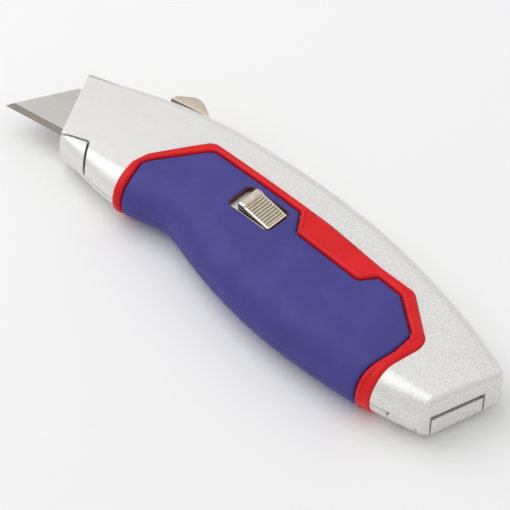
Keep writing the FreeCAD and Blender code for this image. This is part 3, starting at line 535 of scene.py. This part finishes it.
def beside(chain, reach):
    """Points at a distance to both sides of a chain."""
    chain = np.array(chain)
    step = np.roll(chain, -1, 0) - np.roll(chain, 1, 0)
    normal = np.stack((-step[:, 1], step[:, 0]), 1)
    normal /= np.maximum(np.linalg.norm(normal, axis=1), 1e-9)[:, None]
    return np.concatenate((chain + normal * reach, chain - normal * reach))


def sheet(loops, chains, rings, spacing):
    """Triangles that fill the first loop round the others, with rings of points at the edges."""
    edge_points = [point for loop in loops for point in loop]
    low, high = np.min(loops[0], 0), np.max(loops[0], 0)
    across = np.arange(low[0], high[0], spacing)
    along = np.arange(low[1], high[1], spacing)
    grid = np.stack(np.meshgrid(across, along), -1).reshape(-1, 2)
    near = np.min([distances(grid, chain) for chain in chains], 0)
    kept = [grid[near > rings[-1] + spacing * 0.6]]
    for ring in rings:
        points = np.concatenate([beside(chain, ring) for chain in chains])
        near = np.min([distances(points, chain) for chain in chains], 0)
        kept.append(points[np.abs(near - ring) < RING_TOLERANCE])
    fill = np.concatenate(kept)
    bounds = np.min([distances(fill, loop, True) for loop in loops], 0)
    good = inside(fill, loops[0]) & (bounds > EDGE_CLEAR)
    for hole in loops[1:]:
        good &= ~inside(fill, hole)
    fill = fill[good]
    _, first = np.unique(np.round(fill / SMALLEST_STEP), axis=0, return_index=True)
    fill = fill[np.sort(first)]
    edges, base = [], 0
    for loop in loops:
        size = len(loop)
        edges += [(base + i, base + (i + 1) % size) for i in range(size)]
        base += size
    every = [Vector(point) for point in edge_points] + [Vector(point) for point in fill]
    points, _, faces, _, _, _ = delaunay_2d_cdt(every, edges, [], 0, 1e-5)
    points = np.array([(point.x, point.y) for point in points])
    faces = np.array(faces)
    middles = points[faces].mean(1)
    good = inside(middles, loops[0])
    for hole in loops[1:]:
        good &= ~inside(middles, hole)
    return points, faces[good]


def thick_mesh(name, points, faces, heights, depth, far):
    """A closed mesh from a sheet raised by its heights, with walls and an underside."""
    top, under = SKIN.points(points, heights), SKIN.points(points, np.full(len(points), -depth))
    count = len(points)
    verts = np.concatenate((top, under))
    area = np.cross(points[faces[:, 1]] - points[faces[:, 0]],
                    points[faces[:, 2]] - points[faces[:, 0]])
    faces = np.where((area > 0)[:, None], faces, faces[:, ::-1])
    edges = dict.fromkeys(pair for a, b, c in faces.tolist()
                          for pair in ((a, b), (b, c), (c, a)))
    walls = [(b, a, a + count, b + count) for a, b in edges if (b, a) not in edges]
    rows = faces.tolist() + (faces[:, ::-1] + count).tolist() + walls
    if far:
        verts[:, 2] = np.maximum(-verts[:, 2], -REST_PLANE)
        rows = [row[::-1] for row in rows]
    return add_mesh(name, verts, rows)


def add_mesh(name, verts, rows, sharp=RUBBER_SHARP):
    """A smooth-shaded object from points in the design frame, creased above an angle."""
    mesh = bpy.data.meshes.new(name)
    mesh.from_pydata([to_frame(point) for point in verts], [], rows)
    mesh.validate()
    mesh.shade_smooth()
    mesh.set_sharp_from_angle(angle=math.radians(sharp))
    thing = bpy.data.objects.new(name, mesh)
    bpy.context.scene.collection.objects.link(thing)
    return thing


def swell(distance, radius, drop):
    """How far an edge rounded over a radius lies below the face."""
    inward = np.clip(1 - distance / radius, 0, 1)
    return drop * (1 - np.sqrt(np.maximum(1 - inward ** 2, 0)))


GRIP_RISE, TRIM_RISE = 0.8, 1.0
CREASE, WINDOW_MARGIN = 0.25, 0.5
GRIP_RINGS, GRIP_SPACING = (0.1, 0.25, 0.45, 0.7, 1.0, 1.4, 1.9), 0.9
TRIM_RINGS, TRIM_SPACING = (0.1, 0.25, 0.45, 0.7, 1.0, 1.3, 1.6, 1.9), 0.5
# Each rounded edge is (radius, drop).
GRIP_EDGE, WINDOW_EDGE = (1.4, 1.2), (0.45, 0.3)
OUTER_EDGE, INNER_EDGE = (1.2, 1.5), (1.2, 1.1)
BEAD_WIDTH, PANEL_RUN = 3.6, 0.8
FIELD_START, FIELD_RUN, FIELD_DEPTH = 1.35, 0.3, 0.35


def make_grip(name, far):
    """The grip inside the trim, a crease away from it; the near one has the window's hole."""
    chain = clipped(rounded(grown(TRIM_INNER, -CREASE), False))
    bottom = spaced([chain[-1], chain[0]], False, BELLY_SPACING)[1:-1]
    loops, chains = [chain + bottom], [chain]
    if not far:
        hole = window_loop(WINDOW_MARGIN)
        loops.append(hole)
        chains.append(hole + hole[:1])
    points, faces = sheet(loops, chains, GRIP_RINGS, GRIP_SPACING)
    heights = GRIP_RISE - swell(distances(points, chain), *GRIP_EDGE)
    if not far:
        heights -= swell(distances(points, chains[1]), *WINDOW_EDGE)
    return thick_mesh(name, points, faces, heights, SEAT_DEPTH, far)


def make_trim(name, far):
    """The bead round the grip, with a sunk field where it widens into a panel."""
    outer = clipped(rounded(TRIM_OUTER, False))
    inner = clipped(rounded(TRIM_INNER, False))
    front = spaced([inner[0], outer[0]], False, EDGE_SPACING)[1:-1]
    rear = spaced([outer[-1], inner[-1]], False, EDGE_SPACING)[1:-1]
    loop = outer + rear + inner[::-1] + front
    points, faces = sheet([loop], [outer, inner], TRIM_RINGS, TRIM_SPACING)
    out, into = distances(points, outer), distances(points, inner)
    heights = TRIM_RISE - np.maximum(swell(out, *OUTER_EDGE), swell(into, *INNER_EDGE))
    panel = np.clip((out + into - BEAD_WIDTH) / PANEL_RUN, 0, 1)
    field = np.clip((into - FIELD_START) / FIELD_RUN, 0, 1)
    heights -= panel * field * FIELD_DEPTH
    return thick_mesh(name, points, faces, heights, SEAT_DEPTH, far)


# ---------------------------------------------------------------- buttons

def block(across, along, base, height, corner):
    """A closed block over a rectangle, with a top that follows a height function."""
    half = np.array((across[-1] - across[0], along[-1] - along[0])) / 2
    centre = np.array((across[-1] + across[0], along[-1] + along[0])) / 2
    grid = np.stack(np.meshgrid(across, along, indexing="ij"), -1).reshape(-1, 2) - centre
    edge = np.min(half - np.abs(grid), 1)
    over = np.abs(grid) - (half - corner)
    turn = np.all(over > 0, axis=1)
    pull = np.max(over[turn], 1) / np.maximum(np.linalg.norm(over[turn], axis=1), 1e-9)
    grid[turn] = np.sign(grid[turn]) * (half - corner + over[turn] * pull[:, None])
    grid += centre
    top = height(grid[:, 0], grid[:, 1], edge)
    wide, deep = len(across), len(along)
    count = wide * deep
    verts = np.concatenate((np.column_stack((grid, top)),
                            np.column_stack((grid, np.full(count, base)))))

    def at(i, j):
        return i * deep + j

    quads = [(at(i, j), at(i + 1, j), at(i + 1, j + 1), at(i, j + 1))
             for i in range(wide - 1) for j in range(deep - 1)]
    rim = ([at(i, 0) for i in range(wide)] + [at(wide - 1, j) for j in range(1, deep)]
           + [at(i, deep - 1) for i in range(wide - 2, -1, -1)]
           + [at(0, j) for j in range(deep - 2, 0, -1)])
    rows = quads + [tuple(v + count for v in quad[::-1]) for quad in quads]
    rows += [(b, a, a + count, b + count) for a, b in zip(rim, rim[1:] + rim[:1])]
    return verts, rows


def box_rows(low, high):
    """The points and faces of a box."""
    verts = np.array([(x, y, z) for z in (low[2], high[2])
                      for x, y in ((low[0], low[1]), (high[0], low[1]),
                                   (high[0], high[1]), (low[0], high[1]))])
    rows = [(3, 2, 1, 0), (4, 5, 6, 7)]
    rows += [(i, (i + 1) % 4, (i + 1) % 4 + 4, i + 4) for i in range(4)]
    return verts, rows


def joined(name, parts, axes):
    """One object made from several closed sets of points and faces."""
    verts, rows = [], []
    for points, faces in parts:
        base = sum(len(item) for item in verts)
        verts.append(points)
        rows += [tuple(v + base for v in face) for face in faces]
    return add_mesh(name, axes(np.concatenate(verts)), rows, BUTTON_SHARP)


def window_axes(verts):
    """Window coordinates (along the body, across it, up) to the design frame."""
    flat = np.array(from_window(verts[:, :2]))
    return np.column_stack((flat, verts[:, 2]))


def spine_axes(verts):
    """(x, z, y) coordinates to the design frame."""
    return verts[:, (0, 2, 1)]


def fine(*stops):
    """Rising values through the stops, in steps of about 0.2 mm."""
    return np.unique(np.concatenate([np.linspace(a, b, max(int((b - a) / 0.2), 2) + 1)
                                     for a, b in zip(stops, stops[1:])]))


BUTTON_FRONT, BUTTON_REAR, BUTTON_HALF, BUTTON_BASE = -5.1, 7.8, 4.2, 7.5
LIP_TOP, SLOPE_START, SLOPE_END, REAR_LIP = 11.5, 10.95, 9.1, 9.3
RIB_COUNT, GROOVE = 9, 0.55
RIB_START, RIB_STOP = BUTTON_FRONT + 3.1, BUTTON_REAR - 0.8
RIB_LOW, RIB_HIGH = -3.5, 3.3
LIP_RUN, STEP_RUN = 1.3, 0.35
RIM_STEPS = np.array((0.04, 0.1))


def on_ribs(u, v):
    """Which points of the button's top lie in its ribbed field."""
    return (u > RIB_START) & (u < RIB_STOP) & (v > RIB_LOW) & (v < RIB_HIGH)


def button_painted_shade(u, v, z):
    """Painted shade in the grooves between the ribs and low on the button's sides."""
    share = np.clip((u - RIB_START) / (RIB_STOP - RIB_START), 0, 1)
    groove = (0.5 + 0.5 * np.cos(2 * math.pi * RIB_COUNT * share)) ** 3
    slope = SLOPE_START + (SLOPE_END - SLOPE_START) * share
    under = np.clip((slope - 0.45 - z) / 0.2, 0, 1)
    return np.maximum(np.where(on_ribs(u, v), groove * 0.6, 0), under)


def button_height(u, v, edge):
    """The release button's top: a wide lip, then ribs that slope down to a smooth rim."""
    share = np.clip((u - RIB_START) / (RIB_STOP - RIB_START), 0, 1)
    slope = SLOPE_START + (SLOPE_END - SLOPE_START) * share
    wave = 0.5 - 0.5 * np.cos(2 * math.pi * RIB_COUNT * share)
    slope = slope - np.where(on_ribs(u, v), GROOVE * (1 - wave) ** 1.5, 0)
    lip = LIP_TOP - swell(u - BUTTON_FRONT, LIP_RUN, 0.9)
    step = np.clip((u - RIB_START + STEP_RUN) / STEP_RUN, 0, 1)
    top = lip * (1 - step) + slope * step
    rim = np.clip((u - RIB_STOP) / 0.25, 0, 1)
    top = top * (1 - rim) + REAR_LIP * rim
    return top - swell(edge, 0.7, 0.55)


def make_button():
    """The release button: its ribbed block, and the foot and stud under it."""
    ribs = np.arange(RIB_START, RIB_STOP, (RIB_STOP - RIB_START) / RIB_COUNT / 10)
    across = np.unique(np.round(np.concatenate((
        fine(BUTTON_FRONT, BUTTON_FRONT + LIP_RUN),
        fine(BUTTON_FRONT + LIP_RUN, RIB_START - STEP_RUN),
        fine(RIB_START - STEP_RUN, RIB_START), ribs, fine(RIB_STOP, BUTTON_REAR),
        BUTTON_FRONT + RIM_STEPS, BUTTON_REAR - RIM_STEPS)), 4))
    along = np.unique(np.round(np.concatenate((
        fine(-BUTTON_HALF, RIB_LOW), fine(RIB_HIGH, BUTTON_HALF),
        np.linspace(RIB_LOW + 0.05, RIB_HIGH - 0.05, 12),
        RIM_STEPS - BUTTON_HALF, BUTTON_HALF - RIM_STEPS)), 4))
    verts, rows = block(across, along, BUTTON_BASE, button_height, 0.8)
    parts = [(verts, rows), box_rows((-2.0, -1.5, 4.4), (2.0, 1.5, 7.6)),
             box_rows((-0.7, -0.7, 3.4), (0.7, 0.7, 4.5))]
    button = joined("release_button_look", parts, window_axes)
    every = np.concatenate([points for points, _ in parts])
    # Painted shade on the button: darker in the rib grooves and low on the sides.
    painted_shade = button.data.attributes.new(PAINTED_SHADE, "FLOAT", "POINT")
    painted_shade.data.foreach_set("value", button_painted_shade(*every.T))
    return button


THUMB_PROFILE = np.array((
    (21.6, 30.6), (22.6, 31.4), (24.0, 32.3), (25.6, 33.2), (27.4, 34.0), (29.0, 34.2),
    (30.4, 33.9), (31.9, 33.1), (33.4, 32.1), (34.6, 31.1), (36.0, 29.9)))
THUMB_FRONT, THUMB_REAR = THUMB_PROFILE[0, 0], THUMB_PROFILE[-1, 0]
THUMB_TOP = THUMB_PROFILE[:, 1].max()
THUMB_HALF, THUMB_BASE, FLANGE_TOP, FLANGE = 4.75, 29.0, 29.6, 0.3
SIDE_ROUNDING = 1.6


def thumb_height(x, z, edge):
    """The thumb slider's top: a smooth hump on a thin flange, with rounded sides."""
    places = np.clip(x, THUMB_FRONT, THUMB_REAR)
    top = spline(THUMB_PROFILE[:, 0], THUMB_PROFILE[:, 1:], places)[:, 0]
    top = np.maximum(np.minimum(top, THUMB_TOP) - swell(edge - FLANGE, 0.9, 0.7), FLANGE_TOP)
    return np.where(edge < FLANGE, FLANGE_TOP, top)


def make_thumb():
    """The thumb slider: its hump and flange, and the stem that holds it in the slot."""
    near = np.array((0.0, 0.1, FLANGE - 0.02, FLANGE, FLANGE + 0.05, 0.5, 0.65, 0.85, 1.1, 1.4))
    across = np.unique(np.round(np.concatenate((
        THUMB_FRONT + near, THUMB_REAR - near,
        fine(THUMB_FRONT + SIDE_ROUNDING, THUMB_REAR - SIDE_ROUNDING))), 4))
    along = np.unique(np.round(np.concatenate((
        near - THUMB_HALF, THUMB_HALF - near, fine(-3.2, 3.2))), 4))
    parts = [block(across, along, THUMB_BASE, thumb_height, 0.9),
             box_rows((27.0, -1.5, 20.5), (32.0, 1.5, 29.45))]
    turned = [(verts, [row[::-1] for row in rows]) for verts, rows in parts]
    return joined("thumb_slider_look", turned, spine_axes)


# ---------------------------------------------------------------- pieces on their bodies

PIECES = (
    (make_grip("cover_grip_look", False), "cover", "cover_grip", "grip_rubber"),
    (make_grip("base_grip_look", True), "base", "base_grip", "grip_rubber"),
    (make_trim("cover_trim_look", False), "cover", "cover_trim", "trim_rubber"),
    (make_trim("base_trim_look", True), "base", "base_trim", "trim_rubber"),
    (make_button(), "release", "release_button", "button_nickel"),
    (make_thumb(), "thumb", "thumb_slider", "slider_nickel"),
)
for piece, body, node, slot in PIECES:
    wear(piece, slot)
    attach(piece, body)
    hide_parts(node)


def make_spring(node, body):
    """A copy of a coil spring's mesh, put on its body in place of the imported part."""
    source = frame["nodes"][node]
    spring = bpy.data.objects.new(f"{node}_look", source.data.copy())
    bpy.context.scene.collection.objects.link(spring)
    spring.matrix_world = source.matrix_world.copy()
    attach(spring, body)
    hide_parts(node)
    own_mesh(spring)


make_spring("thumb_spring", "thumb")
make_spring("release_spring", "release")


# ---------------------------------------------------------------- floor, light and camera
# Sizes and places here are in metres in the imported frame, apart from the point looked at.

AZIMUTH, ELEVATION = math.radians(35.7), math.radians(48.5)
VIEW_CENTRE = to_frame((82.37, -10.91, 8.0))
VIEW_DISTANCE = 0.7
LENS, SENSOR = 170.47, 36.0
FLOOR_HALF = 3.0


def make_camera():
    """A long lens aimed at the knife from the photo's side."""
    back = Vector((math.sin(AZIMUTH) * math.cos(ELEVATION),
                   -math.cos(AZIMUTH) * math.cos(ELEVATION), math.sin(ELEVATION)))
    right = Vector((math.cos(AZIMUTH), math.sin(AZIMUTH), 0.0))
    up = back.cross(right)
    camera = bpy.data.objects.new("camera", bpy.data.cameras.new("camera"))
    camera.matrix_world = Matrix.Translation(VIEW_CENTRE + back * VIEW_DISTANCE) @ Matrix(
        (right, up, back)).transposed().to_4x4()
    camera.data.lens = LENS
    camera.data.sensor_width = SENSOR
    camera.data.clip_start = 0.01
    bpy.context.scene.collection.objects.link(camera)
    bpy.context.scene.camera = camera


def make_floor():
    """A plain pale floor that the knife lies on."""
    mesh = bpy.data.meshes.new("floor")
    corners = [(x * FLOOR_HALF, y * FLOOR_HALF, 0)
               for x, y in ((-1, -1), (1, -1), (1, 1), (-1, 1))]
    mesh.from_pydata(corners, [], [(0, 1, 2, 3)])
    floor = bpy.data.objects.new("floor", mesh)
    bpy.context.scene.collection.objects.link(floor)
    material, _, shader, _ = new_material("floor")
    shader.inputs["Base Color"].default_value = (0.93, 0.93, 0.93, 1)
    shader.inputs["Roughness"].default_value = 0.8
    mesh.materials.append(material)


def make_area(name, place, size, power):
    """A rectangular lamp aimed at the middle of the knife."""
    light = bpy.data.lights.new(name, "AREA")
    light.shape = "RECTANGLE"
    light.size, light.size_y = size, size
    light.energy = power
    lamp = bpy.data.objects.new(name, light)
    lamp.location = place
    lamp.rotation_euler = (-Vector(place)).to_track_quat("-Z", "Y").to_euler()
    bpy.context.scene.collection.objects.link(lamp)


def make_light():
    """A white room, a large key lamp from the nose side and a weak fill behind."""
    world = bpy.data.worlds.new("studio")
    world.use_nodes = True
    background = world.node_tree.nodes["Background"]
    background.inputs["Color"].default_value = (1.0, 1.0, 1.0, 1)
    background.inputs["Strength"].default_value = 0.64
    bpy.context.scene.world = world
    make_area("key", (-0.5, -0.05, 0.85), 1.0, 4.6)
    make_area("fill", (0.5, 0.6, 0.6), 0.6, 0.5)


make_floor()
make_light()
make_camera()

bpy.context.scene.view_settings.view_transform = "Standard"
